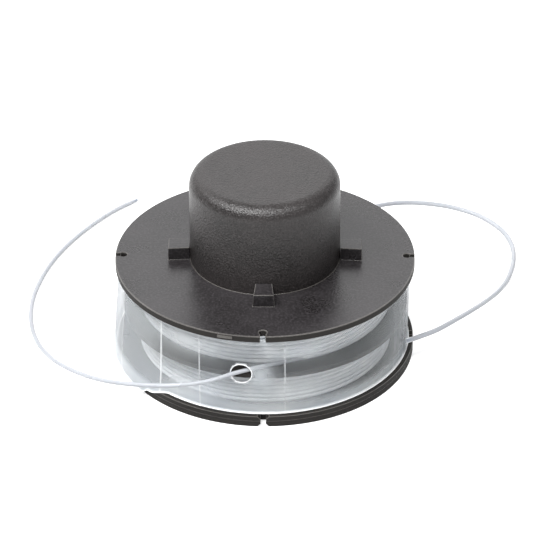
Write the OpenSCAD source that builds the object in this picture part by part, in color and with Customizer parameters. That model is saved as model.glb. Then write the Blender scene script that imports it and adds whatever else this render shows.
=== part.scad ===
// Twin-line spool for a bump-feed grass trimmer head, wound with two clear lines and sleeved in film.
// Millimetres, +Z up. The origin is on the spool's axis, in the plane of the face that it stands on.

/* [Spool] */
// Diameter of the upper flange, lower flange and base ring
flange_d = 86; // [84.5:0.5:92]
// Thickness of the upper flange
upper_flange_t = 2; // [1.6:0.1:2.6]
// Thickness of the lower flange
flange_t = 1.6; // [1.4:0.1:2.4]
// Thickness of the base ring's disc
base_t = 1.7; // [1.5:0.1:2.5]
// Diameter of the opening in the base ring
base_opening_d = 48; // [46:0.5:52]
// Height of each of the two line bays
bay_h = 11.6; // [10.4:0.05:15]
// How far the centre divider's rim lies inside the flanges' rims
divider_inset = 2; // [1.5:0.1:3]
// Thickness of the centre divider
divider_t = 1.6; // [1.2:0.1:2.4]
// Outer diameter of the drum that the lines are wound on
drum_d = 65.2; // [63:0.1:66]
// Thickness of the drum's wall
drum_wall = 2; // [1.4:0.1:2.4]
// Height of the divider's spigot inside the drum, above and below its disc
spigot_h = 2; // [1.5:0.1:3]
// Thickness of the spigot rings inside the drum
spigot_wall = 1.9; // [1.4:0.1:2.4]
// Height of the base ring's spigot above its disc
base_spigot_h = 6.3; // [4:0.1:7]

/* [Bump hub] */
// Outer diameter of the dome
hub_d = 43; // [40:0.1:43.5]
// Height of the dome above the upper flange
hub_h = 27.5; // [24:0.1:34]
// Wall thickness of the dome
hub_wall = 2.5; // [1.8:0.1:3]
// Radius of the rounded edge round the dome's top
hub_edge_r = 4.3; // [3:0.1:6]
// Length of the hub's skirt below the upper flange
skirt_h = 3; // [2.5:0.1:4]
// How far each snap barb stands out from the skirt
barb_reach = 0.9; // [0.5:0.1:1.4]
// Width of each snap barb
barb_w = 6; // [4:0.5:8]
// Height of each snap barb
barb_h = 1.5; // [1:0.1:2]

/* [Dogs and line notches] */
// Number of drive dogs, ratchet lugs and line notches
dog_count = 4; // [3:1:6]
// How far each dog stands out from the dome
dog_reach = 6.2; // [4:0.1:8]
// Width of each dog at the foot of its outer end
dog_w = 6.2; // [5:0.1:7]
// Height of each dog above the flange
dog_h = 3.8; // [2.5:0.1:6]
// Angle by which each side of a dog spreads outwards
dog_flare = 4.5; // [0:0.5:8]
// Angle by which each side of a dog leans in
dog_draft = 3.5; // [0:0.5:6]
// Width of each ratchet lug
lug_w = 5.5; // [4:0.1:7]
// How far each ratchet lug stands in from the base ring's opening
lug_reach = 3.5; // [2:0.1:5]
// Height of each ratchet lug
lug_h = 6; // [4:0.1:7]
// Width of the mouth of each line notch
notch_w = 1.5; // [1:0.1:2]
// Depth of each line notch in from the rim
notch_depth = 3.4; // [2.5:0.1:5]
// Diameter of the keyhole at the end of each upper notch
keyhole_d = 2.2; // [1.5:0.1:3]
// Width of the chamfer at the outer corners of each lower notch
notch_flare = 0.9; // [0.4:0.1:1.2]
// Number of stiffening ribs inside the drum and under the base ring
rib_count = 8; // [4:4:16]
// Thickness of each stiffening rib
rib_t = 1.2; // [0.8:0.1:2]
// Height of the ribs inside the drum
rib_h = 6; // [3:0.5:8]
// Depth of the recess in the base ring's underside
recess_h = 0.7; // [0.3:0.1:0.9]
// Width of the rim round the recess
recess_rim = 2.2; // [1.5:0.1:4]

/* [Post, cup and spring] */
// Outer diameter of the post inside the dome
post_d = 14; // [12:0.1:15]
// Diameter of the blind bore in the post
post_bore_d = 8.2; // [6:0.1:9]
// Depth of the bore
post_bore_h = 39; // [30:0.5:41]
// Height of the post's lower end above the ground plane
post_z = 11; // [9:0.1:12]
// Depth of the clip's groove in the post
groove_depth = 0.85; // [0.5:0.05:1.2]
// Height of the groove's lower side above the post's end
groove_up = 2.7; // [2:0.1:3.2]
// Thickness of the retaining clip
clip_t = 1.2; // [0.8:0.1:1.5]
// Width of the clip's band
clip_band = 3; // [2:0.1:4]
// Width of the gap between the clip's ends
clip_gap = 5; // [3:0.1:6]
// Diameter of the clip's plier holes
clip_hole_d = 1.4; // [1:0.1:1.6]
// Outer diameter of the spring cup
cup_d = 36.4; // [34:0.1:36.8]
// Height of the spring cup
cup_h = 9; // [7:0.1:12]
// Thickness of the cup's floor
cup_floor = 2.5; // [1.5:0.1:3]
// Thickness of the cup's walls
cup_wall = 2; // [1.4:0.1:2.4]
// Diameter of the spring's wire
wire_d = 1.8; // [1.2:0.1:2]
// Diameter of the spring's coil, wire centre to wire centre
coil_d = 23; // [22.5:0.1:27]
// Number of coils
coil_count = 7; // [5:1:9]

/* [Line and sleeve] */
// Diameter of the line
line_d = 1.4; // [1.2:0.1:1.6]
// Layers of line on the drum
line_layers = 3; // [2:1:3]
// Azimuth of the front line hole in the sleeve
hole_az = -98.5; // [-110:0.1:-90]
// Diameter of the line holes
hole_d = 5.8; // [5:0.1:7]
// Height of the front hole above the divider's middle, and depth of the rear hole below it
hole_up = 0.8; // [0.4:0.1:1]
// Thickness of the sleeve's film
film_t = 0.3; // [0.2:0.05:0.4]
// How far the loose side of the sleeve hangs below the lower flange's upper face
film_drop = 3; // [1:0.1:3]

/* [Fits] */
// Gap at fixed joints between the mouldings
fit_gap = 0.05; // [0.02:0.01:0.1]
// Radial running clearance of the cup on the post
run_gap = 0.06; // [0.03:0.01:0.1]
// Gap between loose pieces and the flanges
loose_gap = 0.1; // [0.05:0.05:0.2]
// Gap between the first and last turns of line and the bay's sides
turn_end_gap = 0.2; // [0.15:0.05:0.4]
// Least gap between turns of line
turn_gap = 0.5; // [0.45:0.05:0.8]

/* [Hidden] */
$fn = 96;

// Colours of the mouldings, the steel parts, the line and the film
charcoal = "#4d4a49";
dark_charcoal = "#343232";
cup_grey = "#77797c";
steel = "#9ea2a6";
clear_line = "#e4e8ea";
milky_film = "#c3cbd2";

// Heights from the ground plane up
eps = 0.01;
over = 1;
flange_r = flange_d / 2;
lower_z = base_t;
lower_bay_z = lower_z + flange_t;
divider_z = lower_bay_z + bay_h;
upper_bay_z = divider_z + divider_t;
upper_z = upper_bay_z + bay_h;
deck_z = upper_z + upper_flange_t;
hub_top_z = deck_z + hub_h;
divider_mid_z = divider_z + divider_t / 2;

// Radii of the mouldings
divider_r = flange_r - divider_inset;
drum_r = drum_d / 2;
drum_bore_r = drum_r - drum_wall;
base_opening_r = base_opening_d / 2;
hub_r = hub_d / 2;
hub_bore_r = hub_r - hub_wall;
skirt_step = 0.2;
skirt_r = hub_r - skirt_step;
dog_root = hub_r + loose_gap;

// How far barbs and ribs are sunk into the wall that they grow from, and how far ribs stay off the barbs
root_depth = 0.5;
rib_clear = 0.5;

// The post, the clip in its groove and the cup that rests on the clip
post_r = post_d / 2;
bore_r = post_bore_d / 2;
neck_r = post_r - groove_depth;
clip_z = post_z + groove_up + fit_gap;
clip_ear_swell = 0.4;
clip_ear_r = clip_band / 2 + clip_ear_swell;
cup_z = clip_z + clip_t + fit_gap;
cup_bore_r = post_r + run_gap;
spring_low_z = cup_z + cup_floor + fit_gap;
spring_high_z = hub_top_z - hub_wall - fit_gap;
coil_r = coil_d / 2;
wire_r = wire_d / 2;
coil_rings = 8;
coil_sides = 6;
flat_coil = 0.75;
seat_r = coil_r * cos(180 / coil_rings) - wire_r - loose_gap;
seat_h = 3;

// The line on the drum: nested layers, with the outer layer wound as one tube over a plain core
line_r = line_d / 2;
wind_r = drum_r + line_r + (line_layers - 1) * line_d * sin(60);
loop_rings = 24;
loop_sides = 6;
free_sides = 8;
loops = floor((bay_h - 2 * turn_end_gap - line_d) / (line_d + turn_gap));
core_r = wind_r * cos(180 / loop_rings) - line_r - loose_gap;
anchor_az = 45;
anchor_bore_r = line_r + 0.1;
tail_bend_r = 1.6;
tail_hook = 3;
tail_stand = 0.6;

// The sleeve: its wall's middle, where it is tight on the divider and where it hangs over the lower rim
film_in_r = divider_r + loose_gap + film_t / 2;
film_out_r = flange_r + loose_gap + film_t / 2;
film_cols = 72;
film_steps = [0.12, 0.27, 0.47, 0.7, 1];
film_low_rim_z = lower_bay_z + 3 * loose_gap;
film_high_z = upper_z - loose_gap;
hole_reach = 2;

// The sleeve's loose side: its middle and half width, how fast it comes on and sinks, how far its top stands
// off, and how it leans in
hang_az = -167;
hang_half = 41;
hang_ramp = 20;
drop_ramp = 33;
film_lift = 0.75;
lean_bays = 1.7;
lean_power = 1.5;

// Where each line leaves the sleeve
hole_r = hole_d / 2;
front_hole_z = divider_mid_z + hole_up;
rear_hole_z = divider_mid_z - hole_up;

// The free lines: each route starts at its hole in the sleeve, and its points are the line's middle
front_route = [
    [-6, -41, 17.3], [-15, -45.5, 17], [-24, -47, 16.5], [-32.5, -45.3, 15.5], [-40.5, -42.2, 14],
    [-47.5, -37, 12], [-54, -30, 10], [-59.5, -22.5, 8], [-63.5, -14, 6], [-66.5, -5, 4],
    [-68.5, 4, 2.5], [-69.5, 13.5, 1.5], [-69.5, 23, 1], [-68, 32, 0.75], [-66, 41, 0.75],
    [-62.5, 49.8, 0.75], [-58.5, 58.3, 0.75], [-53.5, 65.8, 0.75], [-48, 73.3, 0.75],
    [-41.4, 79.8, 0.75]];
rear_route = [
    [6, 41, 14.2], [15, 45.5, 14], [23.5, 50.5, 13], [30.5, 57, 11.5], [37, 63.5, 9.5], [46, 68, 7],
    [55.5, 69.4, 5], [65, 67.4, 3], [71.5, 61.8, 1.5], [74.5, 53.7, 0.8], [74.5, 44.1, 0.8],
    [72.5, 34, 1], [69, 24.5, 2.5], [65.5, 16, 5], [61, 7.5, 7], [55.5, 0, 8.5], [49, -6.5, 8.5],
    [40.5, -12, 8.5]];

// ---- Paths ----

function unit(v) = v / norm(v);
function azimuth(p) = atan2(p.y, p.x);
function clamp(x, low, high) = min(max(x, low), high);
function smooth(x) = let (t = clamp(x, 0, 1)) t * t * (3 - 2 * t);

// Azimuth at which a line leaves the outer layer so that it runs straight to its hole
function leave_az(hole) = azimuth(hole) + acos(wind_r / norm([hole.x, hole.y]));
function leave_point(hole, z) = let (a = leave_az(hole)) [wind_r * cos(a), wind_r * sin(a), z];
function leave_way(hole) = let (a = leave_az(hole)) [sin(a), -cos(a), 0];

// Clockwise turns from z0 to z1 that end where the line leaves for its hole, straight at both ends
function winding_path(hole, z0, z1) =
    let (n = loops * loop_rings, a1 = leave_az(hole),
        turns = [for (i = [0 : n]) let (a = a1 + (n - i) * 360 / loop_rings)
            [wind_r * cos(a), wind_r * sin(a), z0 + (z1 - z0) * i / n]],
        way = leave_way(hole))
    concat([turns[0] - way * line_d], turns, [turns[n] + way * line_d]);

// A smooth curve through points, with one more point between each pair
function curve(p) =
    let (n = len(p) - 1)
    [for (i = [0 : 2 * n]) let (k = floor(i / 2))
        i % 2 == 0 ? p[k]
        : (9 * (p[k] + p[k + 1]) - p[max(k - 1, 0)] - p[min(k + 2, n)]) / 16];

// The whole free line, from its last turn through its hole to its cut end
function free_path(route, z) =
    curve(concat([leave_point(route[0], z) + leave_way(route[0]) * (line_d + fit_gap)], route));

function spring_path() =
    let (n = coil_count * coil_rings, low = spring_low_z + wire_r, high = spring_high_z - wire_r)
    [for (i = [0 : n]) let (a = i * 360 / coil_rings, t = i / n)
        [coil_r * cos(a), coil_r * sin(a), low + (high - low) * clamp((t * n / coil_rings - flat_coil)
            / (coil_count - 2 * flat_coil), 0, 1)]];

// ---- Tubes ----

function way_at(p, i) = unit(p[min(i + 1, len(p) - 1)] - p[max(i - 1, 0)]);
function ring(p, i, r, sides) =
    let (w = way_at(p, i), side = unit(cross(w, [0, 0, 1])), up = cross(side, w))
    [for (k = [0 : sides - 1]) let (a = k * 360 / sides) p[i] + r * (cos(a) * up + sin(a) * side)];

module tube(path, r, sides) {
    n = len(path);
    points = [for (i = [0 : n - 1]) each ring(path, i, r, sides)];
    walls = [for (i = [0 : n - 2], k = [0 : sides - 1])
        let (a = i * sides + k, b = i * sides + (k + 1) % sides)
        each [[a, b + sides, b], [a, a + sides, b + sides]]];
    near_end = [for (k = [1 : sides - 2]) [0, k, k + 1]];
    far = (n - 1) * sides;
    far_end = [for (k = [1 : sides - 2]) [far, far + k + 1, far + k]];
    polyhedron(points, concat(walls, near_end, far_end));
}

// Least distance between the skin of a turn and the skin of the next, on their rings' points
function self_gap(path, r, sides) =
    min([for (i = [1 : len(path) - loop_rings - 3], k = [-1 : 1])
        let (a = ring(path, i, r, sides), b = ring(path, i + loop_rings + k, r, sides))
        min([for (p = a, q = b) norm(p - q)])]);

// ---- Mouldings ----

// A ring with a round bore
module round_ring(r_out, r_in, h) {
    difference() {
        cylinder(r = r_out, h = h);
        translate([0, 0, -over]) cylinder(r = r_in, h = h + 2 * over);
    }
}

// Copies spread evenly round the axis
module around(count, start = 0) {
    for (i = [0 : count - 1]) rotate([0, 0, start + i * 360 / count]) children();
}

// A cylinder along a radius, from r0 to r1
module radial_rod(r, r0, r1) {
    translate([r0, 0, 0]) rotate([0, 90, 0]) cylinder(r = r, h = r1 - r0);
}

// Half section of the dome: a tower with a rounded shoulder
module dome_section(r, z0, z1, edge) {
    translate([0, z0]) square([r, z1 - edge - z0]);
    translate([0, z0]) square([r - edge, z1 - z0]);
    intersection() {
        translate([r - edge, z1 - edge]) circle(r = edge);
        translate([0, z0]) square([r, z1 - z0]);
    }
}

module bump_hub() {
    inner_edge = hub_edge_r - hub_wall;
    inner_top = hub_top_z - hub_wall;
    color(charcoal) {
        difference() {
            rotate_extrude() dome_section(hub_r, deck_z, hub_top_z, hub_edge_r);
            rotate_extrude() dome_section(hub_bore_r, deck_z - over, inner_top, inner_edge);
        }
        translate([0, 0, upper_z - skirt_h]) 
            round_ring(skirt_r, hub_bore_r, skirt_h + upper_flange_t + eps);
        translate([0, 0, upper_z - loose_gap - barb_h]) around(dog_count, 180 / dog_count)
            translate([skirt_r - root_depth, -barb_w / 2, 0])
                cube([barb_reach + root_depth, barb_w, barb_h]);
        hub_post(inner_top);
    }
}

// The post that the cup slides on, with its blind bore and clip groove, and the spring's upper seat
module hub_post(top) {
    difference() {
        union() {
            translate([0, 0, post_z]) cylinder(r = post_r, h = top - post_z + eps);
            translate([0, 0, top - seat_h]) cylinder(r = seat_r, h = seat_h + eps);
        }
        translate([0, 0, post_z - over]) cylinder(r = bore_r, h = post_bore_h + over);
        translate([0, 0, post_z + groove_up]) round_ring(post_r + over, neck_r, clip_t + 2 * fit_gap);
    }
}

module flange_disc(t, r_in) {
    round_ring(flange_r, r_in, t);
}

// A notch from the rim inwards whose sides open at 45 degrees in the disc's upper face
module flared_notch(t) {
    half = notch_w / 2;
    mouth = half + notch_flare + over;
    translate([flange_r - notch_depth, 0, 0]) rotate([90, 0, 90]) linear_extrude(notch_depth + over)
        polygon([[-half, -over], [half, -over], [half, t - notch_flare], [mouth, t + over],
            [-mouth, t + over], [-half, t - notch_flare]]);
}

// A straight-sided notch from the rim inwards, with a round keyhole at its end
module keyhole_notch(t) {
    keyhole_x = flange_r - notch_depth + keyhole_d / 2;
    translate([keyhole_x, -notch_w / 2, -over]) cube([notch_depth + over, notch_w, t + 2 * over]);
    translate([keyhole_x, 0, -over]) cylinder(r = keyhole_d / 2, h = t + 2 * over);
}

// A dog at the hub's foot whose sides spread outwards by dog_flare and lean in by dog_draft
module dog() {
    length = dog_reach - loose_gap;
    difference() {
        translate([dog_root, -dog_w / 2, -eps]) cube([length, dog_w, dog_h + eps]);
        for (side = [0, 1]) mirror([0, side, 0])
            translate([dog_root + length, dog_w / 2, 0]) rotate([dog_draft, 0, dog_flare])
                translate([-2 * dog_reach, 0, -dog_h]) cube([3 * dog_reach, dog_w, 3 * dog_h]);
    }
}

module upper_flange() {
    rib_in_r = skirt_r + barb_reach + rib_clear;
    color(charcoal) {
        translate([0, 0, upper_z]) difference() {
            flange_disc(upper_flange_t, skirt_r + fit_gap);
            around(dog_count) keyhole_notch(upper_flange_t);
        }
        translate([0, 0, deck_z]) around(dog_count) dog();
        drum_half(upper_bay_z, upper_z + eps, upper_bay_z + bay_h / 2);
        translate([0, 0, upper_z - rib_h]) around(rib_count, 180 / rib_count)
            translate([rib_in_r, -rib_t / 2, 0])
                cube([drum_bore_r + root_depth - rib_in_r, rib_t, rib_h + eps]);
    }
}

// One bay's drum wall from z0 to z1, with the hole that the line's inner end is hooked through
module drum_half(z0, z1, hole_z) {
    difference() {
        translate([0, 0, z0]) round_ring(drum_r, drum_bore_r, z1 - z0);
        translate([0, 0, hole_z]) rotate([0, 0, anchor_az])
            radial_rod(anchor_bore_r, drum_bore_r - over, drum_r + over);
    }
}

module centre_divider() {
    spigot_r = drum_bore_r - fit_gap;
    color(charcoal) {
        translate([0, 0, divider_z]) round_ring(divider_r, spigot_r - spigot_wall, divider_t);
        translate([0, 0, divider_z - spigot_h])
            round_ring(spigot_r, spigot_r - spigot_wall, divider_t + 2 * spigot_h);
    }
}

module lower_flange() {
    color(dark_charcoal) {
        translate([0, 0, lower_z]) difference() {
            flange_disc(flange_t, drum_r - drum_wall / 2);
            around(dog_count) flared_notch(flange_t);
        }
        drum_half(lower_z, divider_z, lower_bay_z + bay_h / 2);
    }
}

module base_ring() {
    spigot_r = drum_bore_r - fit_gap;
    recess_out_r = flange_r - notch_depth - recess_rim;
    recess_in_r = base_opening_r + recess_rim;
    color(dark_charcoal) {
        difference() {
            flange_disc(base_t, base_opening_r);
            around(dog_count) translate([0, 0, base_t]) mirror([0, 0, 1]) flared_notch(base_t);
            translate([0, 0, -over]) difference() {
                round_ring(recess_out_r, recess_in_r, recess_h + over);
                around(rib_count, 180 / rib_count)
                    translate([recess_in_r - over, -rib_t / 2, -over])
                        cube([recess_out_r - recess_in_r + 2 * over, rib_t, recess_h + 3 * over]);
            }
        }
        translate([0, 0, base_t - eps]) round_ring(spigot_r, spigot_r - spigot_wall, base_spigot_h + eps);
        around(dog_count, 180 / dog_count)
            translate([base_opening_r - lug_reach, -lug_w / 2, 0])
                cube([spigot_r - spigot_wall / 2 - base_opening_r + lug_reach, lug_w, lug_h]);
    }
}

// ---- Spring, cup and clip ----

module return_spring() {
    color(steel) tube(spring_path(), wire_r, coil_sides);
}

module spring_cup() {
    color(cup_grey) translate([0, 0, cup_z]) difference() {
        cylinder(r = cup_d / 2, h = cup_h);
        translate([0, 0, -over]) cylinder(r = cup_bore_r, h = cup_h + 2 * over);
        translate([0, 0, cup_floor]) round_ring(cup_d / 2 - cup_wall, seat_r, cup_h);
    }
}

module retaining_clip() {
    ring_r = neck_r + fit_gap + clip_band;
    ear_az = asin((clip_gap / 2 + clip_ear_r) / ring_r);
    color(steel) translate([0, 0, clip_z]) difference() {
        union() {
            cylinder(r = ring_r, h = clip_t);
            for (s = [-1, 1]) rotate([0, 0, s * ear_az])
                translate([ring_r, 0, 0]) cylinder(r = clip_ear_r, h = clip_t);
        }
        translate([0, 0, -over]) cylinder(r = neck_r + fit_gap, h = clip_t + 2 * over);
        translate([0, -clip_gap / 2, -over]) cube([ring_r + 2 * clip_ear_r, clip_gap, clip_t + 2 * over]);
        for (s = [-1, 1]) rotate([0, 0, s * ear_az])
            translate([ring_r, 0, -over]) cylinder(r = clip_hole_d / 2, h = clip_t + 2 * over);
    }
}

// ---- Lines ----

// The inner end of a line: through the drum's wall, then bent round inside it
module line_tail(z) {
    inside_r = drum_bore_r - tail_bend_r - tail_stand;
    color(clear_line) translate([0, 0, z]) rotate([0, 0, anchor_az]) {
        radial_rod(line_r, inside_r, drum_r);
        translate([inside_r, tail_bend_r, 0]) rotate([0, 0, 180])
            rotate_extrude(angle = 90) translate([tail_bend_r, 0]) circle(r = line_r);
        translate([inside_r - tail_bend_r, tail_bend_r, 0]) rotate([-90, 0, 0])
            cylinder(r = line_r, h = tail_hook);
    }
}

module upper_line_tail() {
    line_tail(upper_bay_z + bay_h / 2);
}

module lower_line_tail() {
    line_tail(lower_bay_z + bay_h / 2);
}

// A bay's wound line: the outer layer's turns over a plain core of the layers below
module winding(bay_z, path) {
    color(clear_line) {
        translate([0, 0, bay_z + turn_end_gap])
            round_ring(core_r, drum_r + fit_gap, bay_h - 2 * turn_end_gap);
        tube(path, line_r, loop_sides);
    }
    echo(least_gap_between_turns = self_gap(path, line_r, loop_sides));
}

// The first and last turns' heights in a bay
function low_turn(bay_z) = bay_z + turn_end_gap + line_r;
function high_turn(bay_z) = bay_z + bay_h - turn_end_gap - line_r;

module upper_winding() {
    winding(upper_bay_z, winding_path(front_route[0], high_turn(upper_bay_z), low_turn(upper_bay_z)));
}

module lower_winding() {
    winding(lower_bay_z, winding_path(rear_route[0], low_turn(lower_bay_z), high_turn(lower_bay_z)));
}

module front_line_end() {
    color(clear_line) tube(free_path(front_route, low_turn(upper_bay_z)), line_r, free_sides);
}

module rear_line_end() {
    color(clear_line) tube(free_path(rear_route, high_turn(lower_bay_z)), line_r, free_sides);
}

// ---- Sleeve ----

// How far an azimuth is from the middle of the sleeve's loose side
function from_hang(a) = abs(((a - hang_az + 540) % 360) - 180);
// 1 where the sleeve hangs outside the lower rim, 0 where it is tucked between the flanges
function hang(a) = smooth((hang_half + hang_ramp - from_hang(a)) / hang_ramp);
function film_low_z(a) =
    lower_bay_z + loose_gap - film_drop * smooth((hang_half - from_hang(a)) / drop_ramp);
function film_rows(a) =
    [film_low_z(a), film_low_rim_z,
        for (t = film_steps) film_low_rim_z + (film_high_z - film_low_rim_z) * t];
function film_r(a, z) =
    let (t = clamp((z - film_low_rim_z) / (lean_bays * bay_h), 0, 1))
    film_in_r + hang(a) * (film_lift + (film_out_r - film_in_r - film_lift) * pow(1 - t, lean_power));

module film_wall() {
    rows = len(film_rows(0));
    outer = [for (c = [0 : film_cols - 1]) let (a = c * 360 / film_cols, zs = film_rows(a))
        for (z = zs) let (r = film_r(a, z) + film_t / 2) [r * cos(a), r * sin(a), z]];
    inner = [for (c = [0 : film_cols - 1]) let (a = c * 360 / film_cols, zs = film_rows(a))
        for (z = zs) let (r = film_r(a, z) - film_t / 2) [r * cos(a), r * sin(a), z]];
    n = film_cols * rows;
    walls = [for (c = [0 : film_cols - 1], k = [0 : rows - 2])
        let (a = c * rows + k, b = ((c + 1) % film_cols) * rows + k)
        each [[a, b + 1, b], [a, a + 1, b + 1], [n + a, n + b, n + b + 1], [n + a, n + b + 1, n + a + 1]]];
    edges = [for (c = [0 : film_cols - 1])
        let (a = c * rows, b = ((c + 1) % film_cols) * rows, at = a + rows - 1, bt = b + rows - 1)
        each [[a, b, n + b], [a, n + b, n + a], [at, n + bt, bt], [at, n + at, n + bt]]];
    polyhedron(concat(outer, inner), concat(walls, edges));
}

module line_sleeve() {
    color(milky_film, 0.6) difference() {
        film_wall();
        line_hole(hole_az, front_hole_z);
        line_hole(hole_az + 180, rear_hole_z);
    }
}

module line_hole(az, z) {
    translate([0, 0, z]) rotate([0, 0, az])
        radial_rod(hole_r, film_in_r - hole_reach, film_out_r + hole_reach);
}

bump_hub();
upper_flange();
centre_divider();
lower_flange();
base_ring();
return_spring();
spring_cup();
retaining_clip();
upper_line_tail();
lower_line_tail();
upper_winding();
lower_winding();
front_line_end();
rear_line_end();
line_sleeve();
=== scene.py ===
import math

import bmesh
import bpy
from mathutils import Matrix, Vector, noise


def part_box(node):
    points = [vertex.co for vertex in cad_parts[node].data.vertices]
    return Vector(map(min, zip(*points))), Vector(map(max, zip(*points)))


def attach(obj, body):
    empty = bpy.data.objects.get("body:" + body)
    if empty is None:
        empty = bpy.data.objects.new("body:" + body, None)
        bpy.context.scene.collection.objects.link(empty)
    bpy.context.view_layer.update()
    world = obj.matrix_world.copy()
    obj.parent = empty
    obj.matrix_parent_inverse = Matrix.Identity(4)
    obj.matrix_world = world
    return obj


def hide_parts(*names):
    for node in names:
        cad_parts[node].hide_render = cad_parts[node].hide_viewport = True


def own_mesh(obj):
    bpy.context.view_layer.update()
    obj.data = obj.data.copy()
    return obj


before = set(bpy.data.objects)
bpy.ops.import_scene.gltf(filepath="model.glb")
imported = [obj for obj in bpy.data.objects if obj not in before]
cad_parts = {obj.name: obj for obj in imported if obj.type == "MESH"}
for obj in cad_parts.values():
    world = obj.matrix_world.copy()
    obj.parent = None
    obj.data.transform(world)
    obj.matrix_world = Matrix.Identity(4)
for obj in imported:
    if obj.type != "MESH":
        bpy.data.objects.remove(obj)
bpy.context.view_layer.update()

# ---- Sizes, in metres ----

MM = 0.001
LINE_R = 0.7 * MM
HUB_R = 21.5 * MM
DRUM_R = 32.6 * MM
DRUM_BORE_R = 30.6 * MM
FLANGE_R = 43 * MM
DIVIDER_R = 41 * MM
ANCHOR_AZ = math.radians(45)

BAY_H = 11.6 * MM
DIVIDER_T = 1.6 * MM
UPPER_FLANGE_T = 2 * MM
LOWER_BAY_Z = 3.3 * MM
DIVIDER_Z = LOWER_BAY_Z + BAY_H
UPPER_BAY_Z = DIVIDER_Z + DIVIDER_T
UPPER_Z = UPPER_BAY_Z + BAY_H
DECK_Z = UPPER_Z + UPPER_FLANGE_T

# The windings: touching turns in nested layers. LIFT_OFF is how far a line goes on from its last turn
# before it becomes the free line.
TURNS, LAYERS = 8, 3
TURN_END_GAP = 0.2 * MM
LAYER_STEP = 2 * LINE_R * math.sin(math.radians(60))
OUTER_WIND_R = DRUM_R + LINE_R + (LAYERS - 1) * LAYER_STEP
LIFT_OFF = 2 * LINE_R + 0.05 * MM

# The middles of the free lines, from where they leave the sleeve to their cut ends
FRONT_ROUTE = [Vector(p) * MM for p in (
    (-6, -41, 17.3), (-15, -45.5, 17), (-24, -47, 16.5), (-32.5, -45.3, 15.5), (-40.5, -42.2, 14),
    (-47.5, -37, 12), (-54, -30, 10), (-59.5, -22.5, 8), (-63.5, -14, 6), (-66.5, -5, 4),
    (-68.5, 4, 2.5), (-69.5, 13.5, 1.5), (-69.5, 23, 1), (-68, 32, 0.75), (-66, 41, 0.75),
    (-62.5, 49.8, 0.75), (-58.5, 58.3, 0.75), (-53.5, 65.8, 0.75), (-48, 73.3, 0.75), (-41.4, 79.8, 0.75))]
REAR_ROUTE = [Vector(p) * MM for p in (
    (6, 41, 14.2), (15, 45.5, 14), (23.5, 50.5, 13), (30.5, 57, 11.5), (37, 63.5, 9.5), (46, 68, 7),
    (55.5, 69.4, 5), (65, 67.4, 3), (71.5, 61.8, 1.5), (74.5, 53.7, 0.8), (74.5, 44.1, 0.8),
    (72.5, 34, 1), (69, 24.5, 2.5), (65.5, 16, 5), (61, 7.5, 7), (55.5, 0, 8.5), (49, -6.5, 8.5),
    (40.5, -12, 8.5))]


# ---- Hands ----

def select_only(piece):
    bpy.ops.object.select_all(action="DESELECT")
    piece.select_set(True)
    bpy.context.view_layer.objects.active = piece


def new_piece(name, mesh):
    piece = bpy.data.objects.new(name, mesh)
    bpy.context.scene.collection.objects.link(piece)
    select_only(piece)
    return piece


def stand_for(piece, node, body="spool"):
    """The piece rides on a body and takes a node's place."""
    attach(piece, body)
    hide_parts(node)


def around_axis(r, azimuth, z):
    return Vector((r * math.cos(azimuth), r * math.sin(azimuth), z))


def smooth(x):
    """0 up to x = 0 and 1 from x = 1, with a smooth change between them."""
    t = min(max(x, 0), 1)
    return t * t * (3 - 2 * t)


# ---- Camera ----

def add_camera():
    """A long lens in front of the spool, a little to one side, looking down on it."""
    focal_px, image_px = 3206.18, 554
    deck_px = (265.15, 254.70)
    distance = 0.9205
    elevation, turn, roll = math.radians(31.756), math.radians(1), math.radians(-0.289)
    centre = image_px / 2
    back = Vector((0, -math.cos(elevation), math.sin(elevation)))
    ahead, right = -back, Vector((1, 0, 0))
    up = right.cross(ahead)
    yaw = math.atan((deck_px[0] - centre) / focal_px)
    ahead, right = (ahead * math.cos(yaw) - right * math.sin(yaw),
                    right * math.cos(yaw) + ahead * math.sin(yaw))
    pitch = math.atan((deck_px[1] - centre) / focal_px)
    ahead, up = (ahead * math.cos(pitch) + up * math.sin(pitch),
                 up * math.cos(pitch) - ahead * math.sin(pitch))
    right, up = (right * math.cos(roll) + up * math.sin(roll),
                 up * math.cos(roll) - right * math.sin(roll))
    camera = bpy.data.objects.new("camera", bpy.data.cameras.new("camera"))
    bpy.context.scene.collection.objects.link(camera)
    camera.data.lens = camera.data.sensor_width * focal_px / image_px
    camera.data.clip_start = 0.05
    camera.matrix_world = (Matrix.Rotation(turn, 4, "Z")
                           @ Matrix.Translation(Vector((0, 0, DECK_Z)) + back * distance)
                           @ Matrix((right, up, -ahead)).transposed().to_4x4())
    bpy.context.scene.camera = camera


# ---- Free lines ----

def leave_azimuth(hole):
    """Where on the outer layer a line to a hole in the sleeve leaves at a tangent."""
    return math.atan2(hole.y, hole.x) + math.acos(OUTER_WIND_R / math.hypot(hole.x, hole.y))


def leave_way(hole):
    """The way that the line takes from there."""
    a = leave_azimuth(hole)
    return Vector((math.sin(a), -math.cos(a), 0))


def smooth_points(points, share=6):
    """Points on a smooth curve through the given ones."""
    out = []
    for k in range(len(points) - 1):
        p0, p1, p2, p3 = (points[min(max(k + i, 0), len(points) - 1)] for i in (-1, 0, 1, 2))
        for s in range(share):
            t = s / share
            out.append(0.5 * (2 * p1 + (p2 - p0) * t + (2 * p0 - 5 * p1 + 4 * p2 - p3) * t * t
                              + (3 * p1 - p0 - 3 * p2 + p3) * t ** 3))
    return out + [points[-1]]


def faired(points):
    """The points without the small unevenness from one to the next; the two at each end stay."""
    lowest = LINE_R + 0.05 * MM
    out = list(points)
    for k in range(2, len(points) - 2):
        a, b, c, d, e = points[k - 2:k + 3]
        out[k] = (10 * c + 4 * (b + d) - a - e) / 16
        out[k].z = max(out[k].z, lowest)
    return out


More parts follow.
